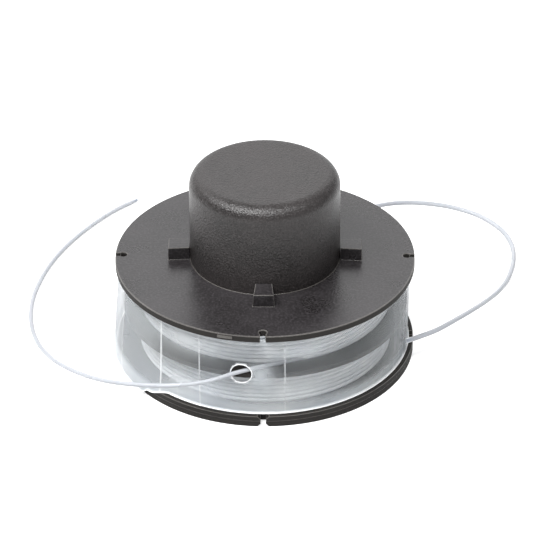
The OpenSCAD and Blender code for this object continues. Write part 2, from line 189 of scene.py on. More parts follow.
def line_tube(name, points, r, sides=12):
    """A round tube along points, closed at both ends, whose rings don't twist from one to the next."""
    last = len(points) - 1
    ways = [(points[min(i + 1, last)] - points[max(i - 1, 0)]).normalized() for i in range(last + 1)]
    side = ways[0].orthogonal().normalized()
    verts, faces = [], []
    for i, (place, way) in enumerate(zip(points, ways)):
        if i:
            side.rotate(ways[i - 1].rotation_difference(way))
        side = (side - way * side.dot(way)).normalized()
        up = way.cross(side)
        for k in range(sides):
            a = 2 * math.pi * k / sides
            verts.append(place + r * (math.cos(a) * side + math.sin(a) * up))
    for i in range(last):
        for k in range(sides):
            a, b = i * sides + k, i * sides + (k + 1) % sides
            faces.append((a, b, b + sides, a + sides))
    faces += [tuple(reversed(range(sides))), tuple(range(last * sides, (last + 1) * sides))]
    mesh = bpy.data.meshes.new(name)
    mesh.from_pydata(verts, [], faces)
    piece = new_piece(name, mesh)
    bpy.ops.object.shade_smooth_by_angle(angle=math.radians(50))
    return piece


def ease_cut_end(piece, end, size):
    """Insets the cap at a cut end and draws its middle in a little, as side cutters leave it.

    The first tube it gets, front_line, meets Blender's vertex mode with all its edges selected. The whole of
    that tube is drawn in instead, to 0.61 mm in radius, and its cap stays flat."""
    edge, slope, dish = 0.14 * size, 0.22 * size, 0.12 * size
    select_only(piece)
    for face in piece.data.polygons:
        face.select = len(face.vertices) > 4 and (face.center - end).length < size
    for vertex in piece.data.vertices:
        vertex.select = False
    bpy.ops.object.mode_set(mode="EDIT")
    bpy.ops.mesh.select_mode(type="FACE")
    bpy.ops.mesh.inset(thickness=edge, depth=0)
    bpy.ops.mesh.inset(thickness=slope, depth=-dish)
    bpy.ops.object.mode_set(mode="OBJECT")


def free_line(name, node, route, first_z):
    """A free line from the last turn through its hole in the sleeve to its cut end."""
    cut_end_reach, cut_end_fade = 1.6 * MM, 0.8 * MM
    hole, cut_end = route[0], route[-1]
    start = around_axis(OUTER_WIND_R, leave_azimuth(hole), first_z) + leave_way(hole) * LIFT_OFF
    points = smooth_points([start, *faired(route)])
    piece = line_tube(name, points, LINE_R)
    ease_cut_end(piece, cut_end, LINE_R)
    # The last stretch of line before its cut end, which the finish makes white edge-on: a painted highlight
    # round its outline.
    cut_end_zone = piece.data.attributes.new("cut_end_zone", "FLOAT", "POINT")
    for v, share in zip(piece.data.vertices, cut_end_zone.data):
        share.value = 1 - smooth(((v.co - cut_end).length - cut_end_reach) / cut_end_fade)
    stand_for(piece, node)
    return piece


add_camera()
front_line = free_line("front_line", "front_line_end", FRONT_ROUTE, UPPER_BAY_Z + TURN_END_GAP + LINE_R)
rear_line = free_line("rear_line", "rear_line_end", REAR_ROUTE, DIVIDER_Z - TURN_END_GAP - LINE_R)


# ---- Windings and line tails ----

def winding_layers(low, high, upward):
    """Each layer's radius, first height, rise per turn and number of turns, from the drum outwards.

    The middle layer goes the other way and has a turn less, as it lies in the others' grooves."""
    pitch = (high - low) / (TURNS - 1)
    layers = []
    for layer in range(LAYERS):
        between = layer == 1
        rising = upward != between
        turns = TURNS - 1 if between else TURNS
        inset = pitch / 2 if between else 0
        first = low + inset if rising else high - inset
        layers.append((DRUM_R + LINE_R + layer * LAYER_STEP, first, pitch if rising else -pitch, turns))
    return layers


def stray(azimuth, r, z):
    """How far a turn strays from its even place."""
    most, along, across = 0.06 * MM, 0.9, 0.7
    return most * noise.noise(Vector((azimuth * along, z / MM * across, r / MM)))


def wound_line(name, node, bay_z, hole, upward):
    """A bay's whole line: three nested layers of touching turns, which step over once in each turn.

    It ends where the free line takes over, and starts against the drum at that same azimuth, not at the tail
    in the anchor hole. upward says which way the outer layer goes."""
    steps, step_from, step_share = 72, 0.88, 0.12
    low = bay_z + TURN_END_GAP + LINE_R
    high = bay_z + BAY_H - TURN_END_GAP - LINE_R
    layers = winding_layers(low, high, upward)
    end = leave_azimuth(hole)
    total = sum(turns for *_, turns in layers)
    points, done = [], 0
    for layer, (r, first, rise, turns) in enumerate(layers):
        for i in range(turns * steps):
            turn, share = divmod(i / steps, 1)
            azimuth = end + (total - done - i / steps) * 2 * math.pi
            step_over = smooth((share - step_from) / step_share)
            last_turn = turn == turns - 1
            z = first + rise * (turn + (0 if last_turn else step_over))
            r_here = r
            if last_turn and layer < LAYERS - 1:
                next_first = layers[layer + 1][1]
                z += (next_first - z) * step_over
                r_here += LAYER_STEP * step_over
            off = stray(azimuth, r, z)
            points.append(around_axis(r_here + off * 0.5, azimuth, min(max(z + off, low), high)))
        done += turns
    last_place = around_axis(OUTER_WIND_R, end, points[-1].z)
    points += [last_place, last_place + leave_way(hole) * LIFT_OFF]
    piece = line_tube(name, points, LINE_R, 10)
    stand_for(piece, node)
    return piece


def line_tail(name, node, z):
    """The inner end of a line, through the drum's wall and bent round inside it."""
    bend_r, hook, wall_gap, bend_steps = 1.6 * MM, 3 * MM, 0.6 * MM, 8
    inside_r = DRUM_BORE_R - bend_r - wall_gap
    out, side = around_axis(1, ANCHOR_AZ, 0), around_axis(1, ANCHOR_AZ + math.pi / 2, 0)
    up = Vector((0, 0, z))
    points = [up + out * DRUM_R, up + out * (DRUM_BORE_R + inside_r) / 2]
    for i in range(bend_steps + 1):
        a = math.pi / 2 * i / bend_steps
        points.append(up + out * (inside_r - bend_r * math.sin(a)) + side * bend_r * (1 - math.cos(a)))
    points.append(up + out * (inside_r - bend_r) + side * (bend_r + hook))
    piece = line_tube(name, points, LINE_R)
    ease_cut_end(piece, points[-1], LINE_R)
    stand_for(piece, node)
    return piece


upper_turns = wound_line("upper_line_turns", "upper_winding", UPPER_BAY_Z, FRONT_ROUTE[0], False)
lower_turns = wound_line("lower_line_turns", "lower_winding", LOWER_BAY_Z, REAR_ROUTE[0], True)
upper_tail = line_tail("upper_tail", "upper_line_tail", UPPER_BAY_Z + BAY_H / 2)
lower_tail = line_tail("lower_tail", "lower_line_tail", LOWER_BAY_Z + BAY_H / 2)


# ---- Spring ----

def add_spring():
    """The compression spring with closed ends, in one fixed shape; the real one shortens as the cup slides
    up.
    """
    wire_r, coil_r, drawn_share = 0.9 * MM, 11.5 * MM, 0.995
    coils, closed, steps = 7, 0.75, 48
    low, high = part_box("return_spring")
    bottom, top = low.z + wire_r, high.z - wire_r
    points = []
    for i in range(coils * steps + 1):
        turn = i / steps
        rise = min(max((turn - closed) / (coils - 2 * closed), 0), 1)
        points.append(around_axis(coil_r, 2 * math.pi * turn, bottom + (top - bottom) * rise))
    piece = line_tube("spring", points, wire_r * drawn_share, 14)
    stand_for(piece, "return_spring")
    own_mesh(piece)
    return piece


spring = add_spring()


# ---- Mouldings ----

SHARP = math.radians(35)
HAIR = 0.05 * MM


def weigh_edges(mesh, share):
    """Gives each sharp edge the share of the easing's width that its middle calls for."""
    shape = bmesh.new()
    shape.from_mesh(mesh)
    weight = shape.edges.layers.float.new("bevel_weight_edge")
    for edge in shape.edges:
        if len(edge.link_faces) == 2 and edge.calc_face_angle() > SHARP:
            middle = (edge.verts[0].co + edge.verts[1].co) / 2
            edge[weight] = share(math.hypot(middle.x, middle.y), middle.z)
    shape.to_mesh(mesh)
    shape.free()


def deck_share(r, z):
    """All of the width on the deck's rim, less on the dogs and the rim's other edges, none near the hub."""
    dogs_from_r, dogs_to_r, dogs_upper_z = 22.5 * MM, 28.5 * MM, DECK_Z + 3 * MM
    if z <= DECK_Z - HAIR:
        return 0.5 if z > UPPER_Z - HAIR and r > DRUM_R + MM else 0
    if r > dogs_to_r:
        return 1
    if r < dogs_from_r:
        return 0
    return 0.8 if z > dogs_upper_z else 0.4


def rim_share(r, z):
    """All of the width outside the drum, none within it."""
    return 1 if r > DRUM_R + MM else 0


def ease_edges(piece, width, share):
    """A narrow bevel along the sharp edges, with the material of the second slot on it."""
    if share:
        weigh_edges(piece.data, share)
    bevel = piece.modifiers.new("eased edges", "BEVEL")
    bevel.limit_method = "WEIGHT" if share else "ANGLE"
    bevel.angle_limit = SHARP
    bevel.width = width
    bevel.segments = 2
    bevel.use_clamp_overlap = not share
    bevel.material = 1
    piece.data.materials.clear()
    for _ in range(2):
        piece.data.materials.append(None)
    for face in piece.data.polygons:
        face.material_index = 0
    bpy.ops.object.modifier_apply(modifier=bevel.name)


def eased_copy(node, name, width, body="spool", share=None):
    """A copy of a moulding with its sharp edges eased, which stands for the node.

    With share, an edge's width follows from its radius and height, and points that lie very close
    together are made one."""
    merge = 0.13 * MM if share else 0.001 * MM
    piece = new_piece(name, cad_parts[node].data.copy())
    bpy.ops.mesh.customdata_custom_splitnormals_clear()
    bpy.ops.object.mode_set(mode="EDIT")
    bpy.ops.mesh.select_all(action="SELECT")
    bpy.ops.mesh.remove_doubles(threshold=merge)
    bpy.ops.mesh.dissolve_limited(angle_limit=math.radians(0.5))
    bpy.ops.object.mode_set(mode="OBJECT")
    ease_edges(piece, width, share)
    bpy.ops.object.shade_smooth_by_angle(angle=math.radians(30))
    flat = piece.modifiers.new("flat faces stay flat", "WEIGHTED_NORMAL")
    flat.keep_sharp = True
    bpy.ops.object.modifier_apply(modifier=flat.name)
    stand_for(piece, node, body)
    return piece


def add_foot_bead():
    """A fine half-round bead where the hub meets the flange, put there as a painted highlight along the hub's
    foot.
    """
    bead_r = 0.13 * MM
    bpy.ops.object.select_all(action="DESELECT")
    bpy.ops.mesh.primitive_torus_add(major_segments=192, minor_segments=16, major_radius=HUB_R,
                                     minor_radius=bead_r, location=(0, 0, DECK_Z))
    piece = bpy.context.object
    piece.name = "foot_bead"
    bpy.ops.object.transform_apply(location=True, rotation=False, scale=False)
    bpy.ops.object.mode_set(mode="EDIT")
    bpy.ops.mesh.select_all(action="SELECT")
    bpy.ops.mesh.bisect(plane_co=(0, 0, DECK_Z - 0.3 * bead_r), plane_no=(0, 0, 1), clear_inner=True)
    bpy.ops.mesh.select_all(action="DESELECT")
    bpy.ops.mesh.select_mode(type="EDGE")
    bpy.ops.mesh.select_non_manifold()
    bpy.ops.mesh.bridge_edge_loops()
    bpy.ops.mesh.select_all(action="SELECT")
    bpy.ops.mesh.normals_make_consistent(inside=False)
    bpy.ops.object.mode_set(mode="OBJECT")
    bpy.ops.object.shade_smooth_by_angle(angle=math.radians(40))
    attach(piece, "spool")
    return piece


def add_gate_mark():
    """The trimmed stub of the mould's gate on the upper flange's rim."""
    azimuth, wide, tall, deep = math.radians(-104.25), 4.3 * MM, 0.9 * MM, 0.4 * MM
    sunk, below_deck, rounding = 0.08 * MM, 0.95 * MM, 0.1 * MM
    bpy.ops.object.select_all(action="DESELECT")
    bpy.ops.mesh.primitive_cube_add(size=1)
    piece = bpy.context.object
    piece.name = "gate_mark"
    piece.scale = (deep, wide, tall)
    piece.rotation_euler = (0, 0, azimuth)
    piece.location = around_axis(FLANGE_R - sunk, azimuth, DECK_Z - below_deck)
    bpy.ops.object.transform_apply(location=True, rotation=True, scale=True)
    bpy.ops.object.mode_set(mode="EDIT")
    bpy.ops.mesh.select_all(action="SELECT")
    bpy.ops.mesh.bevel(offset=rounding, segments=2)
    bpy.ops.object.mode_set(mode="OBJECT")
    bpy.ops.object.shade_smooth_by_angle(angle=math.radians(30))
    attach(piece, "spool")
    return piece


hub = eased_copy("bump_hub", "hub", 0.15 * MM)
foot_bead = add_foot_bead()
gate_mark = add_gate_mark()
upper_disc = eased_copy("upper_flange", "upper_disc", 0.28 * MM, share=deck_share)
lower_disc = eased_copy("lower_flange", "lower_disc", 0.14 * MM, share=rim_share)
foot_ring = eased_copy("base_ring", "foot_ring", 0.15 * MM)
divider = eased_copy("centre_divider", "divider", 0.15 * MM)
cup = eased_copy("spring_cup", "cup", 0.15 * MM, "cup")
clip = eased_copy("retaining_clip", "clip", 0.08 * MM)


# ---- Sleeve ----

FILM_T = 0.14 * MM
FILM_TOP_Z = UPPER_Z - 0.1 * MM
TUCKED_LOW_Z = LOWER_BAY_Z + 0.1 * MM
TUCKED_R, LOOSE_TOP_R, LOOSE_LOW_R = DIVIDER_R + 0.25 * MM, 42 * MM, FLANGE_R + 0.7 * MM
FLARE_FOOT, FLARE_POWER = 0.3 * MM, 1.5
LIP, LIP_H = 0.45 * MM, 0.6 * MM
HOLE_R = 2.9 * MM
LINE_HOLES = ((-98.5, 16.5 * MM), (81.5, 14.9 * MM))

# The loose side: the azimuth of its middle, and then degrees from there. A drop of the lower edge is its
# depth in mm, where it ends and over how many degrees. A tuck is where the film is back on the divider, over
# how many degrees it gets there at its foot, and TUCK_MORE_UP is how many more that takes at the top.
HANG_AZ = -167
FRONT_DROPS, REAR_DROPS = ((2.4, 29, 5), (0.6, 34, 5)), ((3, 41, 26),)
FRONT_TUCK, REAR_TUCK, TUCK_MORE_UP = (37, 6), (61, 20), 12

# Creases: azimuth, how far the fold stands out in mm, and its half width in degrees
CREASES = ((-133.5, 0.34, 0.6), (-126.2, 0.18, 0.4), (-115.5, 0.24, 0.45), (-81.4, 0.24, 0.4),
           (-27, 0.16, 0.8), (-22, 0.14, 0.7), (-17, 0.12, 0.6), (-12, 0.18, 0.6),
           (-160, 0.15, 1.4), (-176, 0.2, 1.6), (150, 0.2, 1.2), (118, 0.2, 0.6), (96, 0.16, 0.5),
           (52, 0.2, 0.5), (20, 0.18, 0.7))
DEEPEST_CREASE = 0.34

# Milkier patches of the film, partly its own milkiness and partly painted light that lifts the shade on the
# windings behind them: azimuth, height in mm, half width in degrees, half height in mm, and strength
MILKY_AND_LIT_PATCHES = ((-78, 10, 16, 4, 0.22), (-120, 24, 16, 4, 0.28), (-117, 8, 20, 5, 0.4),
          (-91, 16.5, 4.5, 3, 0.4), (-75, 24, 10, 3, 0.3), (-22, 14, 13, 14, 0.06), (-58, 4, 14, 3, 0.08))
CLEAREST, MILKIEST = 0.06, 0.85


def degrees_apart(a, b):
    """Degrees from azimuth b to azimuth a, from -180 to 180."""
    return (a - b + 540) % 360 - 180


def from_hang(a):
    """Degrees from the middle of the loose side, more than 0 towards the front."""
    return degrees_apart(a, HANG_AZ)


def film_low_z(a):
    """The height of the film's lower edge, which hangs over the flange's rim on the loose side."""
    d = from_hang(a)
    drops = FRONT_DROPS if d > 0 else REAR_DROPS
    hang = sum(depth * smooth((reach - abs(d)) / over) for depth, reach, over in drops)
    return TUCKED_LOW_Z - hang * MM


def film_r(a, z):
    """The film's radius: on the divider's rim, but loose and flared out over the lower flange on one side.

    Towards the front it tucks in again sharply, and behind over a longer way."""
    up = min(max((z - LOWER_BAY_Z - FLARE_FOOT) / (UPPER_Z - LOWER_BAY_Z), 0), 1)
    loose = LOOSE_TOP_R + (LOOSE_LOW_R - LOOSE_TOP_R) * (1 - up) ** FLARE_POWER
    d = from_hang(a)
    reach, over = FRONT_TUCK if d > 0 else REAR_TUCK
    return TUCKED_R + (loose - TUCKED_R) * smooth((reach - abs(d)) / (over + TUCK_MORE_UP * up))


def crease(a):
    """How sharply the film is folded at an azimuth, and how far the fold stands out, in millimetres."""
    line_sharpness = 3
    sharp, out = 0, 0
    for at, height, width in CREASES:
        d = abs(degrees_apart(a, at)) / width
        sharp = max(sharp, math.exp(-d * d * line_sharpness) * height / DEEPEST_CREASE)
        out = max(out, height * math.exp(-d))
    return sharp, out


def film_haze_and_light(a, z):
    """How milky the film is: most at its edges and where it hangs over the rim, and in patches. The milky
    band under the upper flange is painted light over the shade that the flange casts on the windings, and the
    patches are partly painted light.
    """
    edge_haze_and_light, loose_haze, over_rim_haze = 0.4, 0.12, 0.4
    low_band, top_band, top_fade, rim_fade = 5 * MM, 2.5 * MM, 2 * MM, 4 * MM
    loose_reach, loose_fade = 40, 15
    low_edge = edge_haze_and_light * smooth((film_low_z(a) + low_band - z) / low_band)
    # Painted light: milkier just under the upper flange, over the shade it casts on the windings.
    top_edge = edge_haze_and_light * smooth((z - UPPER_Z + top_band) / top_fade)
    over_rim = 1 - smooth((z - LOWER_BAY_Z) / rim_fade)
    loose = (loose_haze + over_rim_haze * over_rim) * smooth((loose_reach - abs(from_hang(a))) / loose_fade)
    patches = 0
    for at, height, half_az, half_z, strength in MILKY_AND_LIT_PATCHES:
        d = math.hypot(degrees_apart(a, at) / half_az, (z / MM - height) / half_z)
        patches += strength * math.exp(-d * d)
    return min(CLEAREST + max(low_edge, loose, top_edge) + patches, MILKIEST)


def film_heights(low, high):
    """The heights of the film's rows: close together in the turned-out lip, then even."""
    lip_rows, even_from, even_rows = (0, 0.12, 0.25, 0.4, 0.6), 0.9 * MM, 27
    lip = [low + row * MM for row in lip_rows]
    return lip + [low + even_from + (high - low - even_from) * k / even_rows for k in range(even_rows + 1)]


def film_point(a, z, low, fold):
    """A point of the film's middle surface. low is its lower edge there, fold how far a crease stands out."""
    fold_at_edge, fold_between, wave_h = 0.35, 0.65, 0.12 * MM
    waves_round, waves_up = 9, 0.8
    t = (z - low) / (FILM_TOP_Z - low)
    between = math.sin(math.pi * t)
    wave = noise.noise(Vector((math.cos(math.radians(a)) * waves_round,
                               math.sin(math.radians(a)) * waves_round, t * waves_up)))
    r = film_r(a, z) + fold * MM * (fold_at_edge + fold_between * between) + wave_h * (1 + wave) * between
    lip = LIP * (1 - smooth((z - low) / LIP_H))
    return around_axis(min(r, LOOSE_LOW_R) + lip, math.radians(a), z)


def film_mesh(columns=720):
    """The film's middle surface, a closed tube of columns and rows."""
    verts, faces = [], []
    for c in range(columns):
        a = c * 360 / columns
        low = film_low_z(a)
        _, fold = crease(a)
        verts += [film_point(a, z, low, fold) for z in film_heights(low, FILM_TOP_Z)]
    rows = len(verts) // columns
    for c in range(columns):
        for k in range(rows - 1):
            p, q = c * rows + k, (c + 1) % columns * rows + k
            faces.append((p, q, q + 1, p + 1))
    mesh = bpy.data.meshes.new("sleeve")
    mesh.from_pydata(verts, [], faces)
    return mesh


def punch_line_holes(piece):
    """A round hole through the film for each line."""
    punch_r, punch_length = 42 * MM, 6 * MM
    for azimuth, z in LINE_HOLES:
        bpy.ops.mesh.primitive_cylinder_add(
            vertices=48, radius=HOLE_R, depth=punch_length,
            location=around_axis(punch_r, math.radians(azimuth), z),
            rotation=(0, math.pi / 2, math.radians(azimuth)))
        punch = bpy.context.object
        select_only(piece)
        cut = piece.modifiers.new("line hole", "BOOLEAN")
        cut.object = punch
        cut.solver = "EXACT"
        bpy.ops.object.modifier_apply(modifier=cut.name)
        bpy.data.objects.remove(punch)


def mark_film(piece):
    """Where the film is whiter, at its creases, holes and cut lower edge, and how milky it is. The white is
    partly whitened film and partly painted light: highlights on the folds and round the holes, and a glow of
    light carried along the cut edge.
    """
    hole_band, crease_white = 0.5 * MM, 0.65
    holes = [around_axis(TUCKED_R, math.radians(azimuth), z) for azimuth, z in LINE_HOLES]
    whitening_and_light = piece.data.attributes.new("whitening_and_light", "FLOAT", "POINT")
    haze_and_light = piece.data.attributes.new("haze_and_light", "FLOAT", "POINT")
    for v, white, milky in zip(piece.data.vertices, whitening_and_light.data, haze_and_light.data):
        a = math.degrees(math.atan2(v.co.y, v.co.x))
        sharp, _ = crease(a)
        near_hole = min((v.co - hole).length for hole in holes)
        hole_edge = 1 - smooth((near_hole - HOLE_R) / hole_band)
        cut_edge = 1 - smooth((v.co.z - film_low_z(a)) / LIP_H)
        # Partly whitened film, partly painted highlights on the folds and hole rims and a painted glow along
        # the cut edge.
        white.value = max(crease_white * sharp, hole_edge, cut_edge)
        milky.value = film_haze_and_light(a, v.co.z)


def add_sleeve():
    """The film round both bays, stretched over the divider, with a hole for each line."""
    piece = new_piece("sleeve", film_mesh())
    wall = piece.modifiers.new("wall", "SOLIDIFY")
    wall.thickness = FILM_T
    wall.offset = 0
    bpy.ops.object.modifier_apply(modifier=wall.name)
    punch_line_holes(piece)
    mark_film(piece)
    bpy.ops.object.shade_smooth_by_angle(angle=math.radians(50))
    stand_for(piece, "line_sleeve")
    return piece


sleeve = add_sleeve()


# ---- Finishes ----

def new_material(name):
    material = bpy.data.materials.new(name)
    material.use_nodes = True
    nodes = material.node_tree.nodes
    shader = nodes["Principled BSDF"]
    coords = nodes.new("ShaderNodeTexCoord")
    return material, nodes, material.node_tree.links, shader, coords.outputs["Object"]


def new_group(name, inputs, outputs):
    group = bpy.data.node_groups.new(name, "ShaderNodeTree")
    for label, kind, default in inputs:
        socket = group.interface.new_socket(label, in_out="INPUT", socket_type=kind)
        if default is not None:
            socket.default_value = default
    for label, kind in outputs:
        group.interface.new_socket(label, in_out="OUTPUT", socket_type=kind)
    return group, group.nodes.new("NodeGroupInput"), group.nodes.new("NodeGroupOutput")


def use_group(nodes, links, group, vector, **values):
    node = nodes.new("ShaderNodeGroup")
    node.node_tree = group
    links.new(vector, node.inputs["Vector"])
    for label, value in values.items():
        node.inputs[label.replace("_", " ")].default_value = value
    return node


def math_node(nodes, links, operation, a, b):
    node = nodes.new("ShaderNodeMath")
    node.operation = operation
    for socket, value in zip(node.inputs, (a, b)):
        if isinstance(value, (int, float)):
            socket.default_value = value
        else:
            links.new(value, socket)
    return node.outputs[0]


def mix_colour(nodes, links, mask, a, b):
    node = nodes.new("ShaderNodeMix")
    node.data_type = "RGBA"
    links.new(mask, node.inputs["Factor"])
    for socket, value in ((node.inputs["A"], a), (node.inputs["B"], b)):
        if isinstance(value, tuple):
            socket.default_value = (*value, 1)
        else:
            links.new(value, socket)
    return node.outputs["Result"]


def contrast(nodes, links, value, low, high):
    """0 where the value is low and 1 where it is high."""
    node = nodes.new("ShaderNodeMapRange")
    node.inputs["From Min"].default_value = low
    node.inputs["From Max"].default_value = high
    links.new(value, node.inputs["Value"])
    return node.outputs[0]


def span(nodes, links, value, low, high):
    """Low where the value is 0 and high where it is 1."""
    node = nodes.new("ShaderNodeMapRange")
    node.inputs["To Min"].default_value = low
    node.inputs["To Max"].default_value = high
    links.new(value, node.inputs["Value"])
    return node.outputs[0]


def attribute_mask(nodes, name):
    node = nodes.new("ShaderNodeAttribute")
    node.attribute_name = name
    return node.outputs["Fac"]


def seen_edge_on(nodes, blend):
    node = nodes.new("ShaderNodeLayerWeight")
    node.inputs["Blend"].default_value = blend
    return node.outputs["Facing"]


def add_relief(nodes, links, shader, height, strength, depth):
    relief = nodes.new("ShaderNodeBump")
    relief.inputs["Strength"].default_value = strength
    relief.inputs["Distance"].default_value = depth
    links.new(height, relief.inputs["Height"])
    links.new(relief.outputs["Normal"], shader.inputs["Normal"])


def moulded_grain_group():
    """The fine spark-eroded grain of a mould, as height and as a mask of its high spots."""
    group, into, out = new_group(
        "moulded_grain",
        (("Vector", "NodeSocketVector", None), ("Grains per metre", "NodeSocketFloat", 2500.0)),
        (("Height", "NodeSocketFloat"), ("Fleck", "NodeSocketFloat")))
    nodes, links = group.nodes, group.links
    fine = nodes.new("ShaderNodeTexNoise")
    fine.inputs["Detail"].default_value = 4
    fine.inputs["Roughness"].default_value = 0.65
    pits = nodes.new("ShaderNodeTexVoronoi")
    pits.feature = "SMOOTH_F1"
    for texture in (fine, pits):
        links.new(into.outputs["Vector"], texture.inputs["Vector"])
        links.new(into.outputs["Grains per metre"], texture.inputs["Scale"])
    height = math_node(nodes, links, "MULTIPLY", fine.outputs[0], pits.outputs["Distance"])
    links.new(height, out.inputs["Height"])
    links.new(contrast(nodes, links, fine.outputs[0], 0.45, 0.7), out.inputs["Fleck"])
    return group


def handling_group():
    """Broad soft cloudiness, where dust and handling have dulled a moulding."""
    group, into, out = new_group(
        "handling", (("Vector", "NodeSocketVector", None), ("Size", "NodeSocketFloat", 60.0)),
        (("Dulled", "NodeSocketFloat"),))
    nodes, links = group.nodes, group.links
    cloud = nodes.new("ShaderNodeTexNoise")
    cloud.inputs["Detail"].default_value = 3
    links.new(into.outputs["Vector"], cloud.inputs["Vector"])
    links.new(into.outputs["Size"], cloud.inputs["Scale"])
    links.new(contrast(nodes, links, cloud.outputs[0], 0.35, 0.7), out.inputs["Dulled"])
    return group


MOULDED_GRAIN = moulded_grain_group()
HANDLING = handling_group()


def dark_plastic(name, dark, light, roughness, bump, grains=2500.0, specular=0.5):
    """A moulded plastic with a fine mould grain, a little dulled by handling."""
    material, nodes, links, shader, place = new_material(name)
    shader.inputs["Specular IOR Level"].default_value = specular
    grain = use_group(nodes, links, MOULDED_GRAIN, place, Grains_per_metre=grains)
    dulled = use_group(nodes, links, HANDLING, place, Size=60.0).outputs["Dulled"]
    dusty = tuple(c * 1.7 for c in light)
    colour = mix_colour(nodes, links, grain.outputs["Fleck"], dark, light)
    colour = mix_colour(nodes, links, span(nodes, links, dulled, 0, 0.25), colour, dusty)
    links.new(colour, shader.inputs["Base Color"])
    rough = math_node(nodes, links, "ADD", span(nodes, links, dulled, roughness, roughness + 0.08),
                      span(nodes, links, grain.outputs["Fleck"], 0.0, 0.06))
    links.new(rough, shader.inputs["Roughness"])
    add_relief(nodes, links, shader, grain.outputs["Height"], bump, 0.25 * MM)
    return material


def spring_steel_finish():
    """Drawn wire and pressed strip, a little uneven in shine."""
    material, nodes, links, shader, place = new_material("spring_steel")
    dulled = use_group(nodes, links, HANDLING, place, Size=400.0).outputs["Dulled"]
    colour = mix_colour(nodes, links, dulled, (0.42, 0.43, 0.45), (0.62, 0.63, 0.64))
    links.new(colour, shader.inputs["Base Color"])
    shader.inputs["Metallic"].default_value = 1
    links.new(span(nodes, links, dulled, 0.25, 0.42), shader.inputs["Roughness"])
    return material


def nylon(name, pale, deep, transmission, roughness, cloud_size=180.0):
    """Extruded line: a little cloudy along its length, and deeper in colour edge-on, which is painted shade
    along its outline. Near a cut end it is grey face-on and white edge-on, a painted highlight round its
    outline.
    """
    material, nodes, links, shader, place = new_material(name)
    cloudy = use_group(nodes, links, HANDLING, place, Size=cloud_size).outputs["Dulled"]
    edge_on = seen_edge_on(nodes, 0.35)
    outline_shade = tuple(c * 0.7 for c in deep)
    colour = mix_colour(nodes, links, cloudy, pale, deep)
    # Deeper in colour edge-on: painted shade along the line's outline.
    colour = mix_colour(nodes, links, span(nodes, links, edge_on, 0, 0.6), colour, outline_shade)
    # Near a cut end, grey face-on and white edge-on: a painted highlight round the line's outline.
    cut = mix_colour(nodes, links, span(nodes, links, edge_on, -0.5, 2.8), (0.3, 0.33, 0.38),
                     (0.97, 0.98, 1.0))
    colour = mix_colour(nodes, links, attribute_mask(nodes, "cut_end_zone"), colour, cut)
    links.new(colour, shader.inputs["Base Color"])
    links.new(span(nodes, links, cloudy, roughness, roughness + 0.1), shader.inputs["Roughness"])
    shader.inputs["IOR"].default_value = 1.53
    shader.inputs["Specular IOR Level"].default_value = 0.3
    shader.inputs["Transmission Weight"].default_value = transmission
    return material


def film_finish():
    """Milky clear film, whiter where it is creased or cut, partly as painted highlights and glow, and darker
    where seen edge-on, as painted shade.
    """
    material, nodes, links, shader, place = new_material("sleeve_film")
    cloudy = use_group(nodes, links, HANDLING, place, Size=45.0).outputs["Dulled"]
    white = attribute_mask(nodes, "whitening_and_light")
    edge_on = math_node(nodes, links, "POWER", seen_edge_on(nodes, 0.5), 3.0)
    colour = mix_colour(nodes, links, cloudy, (0.57, 0.61, 0.65), (0.67, 0.70, 0.71))
    # Darker where the film is seen edge-on: painted shade on the sides of the sleeve.
    colour = mix_colour(nodes, links, edge_on, colour, (0.30, 0.33, 0.36))
    # Whiter at creases, holes and the cut edge: partly whitened film, partly painted highlights and glow.
    colour = mix_colour(nodes, links, white, colour, (0.97, 0.975, 0.98))
    links.new(colour, shader.inputs["Base Color"])
    # Milkier in the marked patches and under the upper flange, which is partly painted light.
    haze_and_light = math_node(nodes, links, "MULTIPLY", attribute_mask(nodes, "haze_and_light"),
                     span(nodes, links, cloudy, 0.85, 1.1))
    haze_and_light = math_node(nodes, links, "ADD", haze_and_light, span(nodes, links, edge_on, 0, 0.4))
    links.new(math_node(nodes, links, "MAXIMUM", haze_and_light, white), shader.inputs["Alpha"])
    shader.inputs["Roughness"].default_value = 0.3
    stretch = nodes.new("ShaderNodeMapping")
    stretch.inputs["Scale"].default_value = (1, 1, 0.12)
    links.new(place, stretch.inputs["Vector"])
    wrinkle = nodes.new("ShaderNodeTexNoise")
    wrinkle.inputs["Scale"].default_value = 260
    wrinkle.inputs["Detail"].default_value = 3
    links.new(stretch.outputs[0], wrinkle.inputs["Vector"])
    add_relief(nodes, links, shader, wrinkle.outputs[0], 0.12, 0.12 * MM)
    return material


def dress(material, *pieces):
    for piece in pieces:
        piece.data.materials.clear()
        piece.data.materials.append(material)


def dress_moulding(material, edges, *pieces):
    """The material on a moulding's faces, and another one on its eased edges."""
    for piece in pieces:
        piece.data.materials[0] = material
        piece.data.materials[1] = edges


def paint_wall_shade(piece, material, least_r):
    """A darker material on a disc's upright faces outside a radius, such as its rim: painted shade, where
    upright faces look darker by how the light falls.
    """
    piece.data.materials.append(material)
    for face in piece.data.polygons:
        upright = abs(face.normal.z) < 0.2
        if upright and face.material_index == 0 and math.hypot(*face.center.xy) > least_r:
            face.material_index = 2


hub_plastic = dark_plastic("hub_plastic", (0.007, 0.006, 0.0055), (0.037, 0.032, 0.032),
                           roughness=0.3, bump=0.9, grains=2000.0, specular=0.42)
flange_plastic = dark_plastic("flange_plastic", (0.008, 0.007, 0.0072), (0.037, 0.0335, 0.036),
                              roughness=0.26, bump=0.12, grains=1500.0, specular=0.42)
# Lighter plastic on the upper disc's eased edges: a painted highlight along them.
edge_highlight = dark_plastic("edge_highlight", (0.06, 0.057, 0.054), (0.12, 0.113, 0.108),
                         roughness=0.35, bump=0.15, specular=0.3)
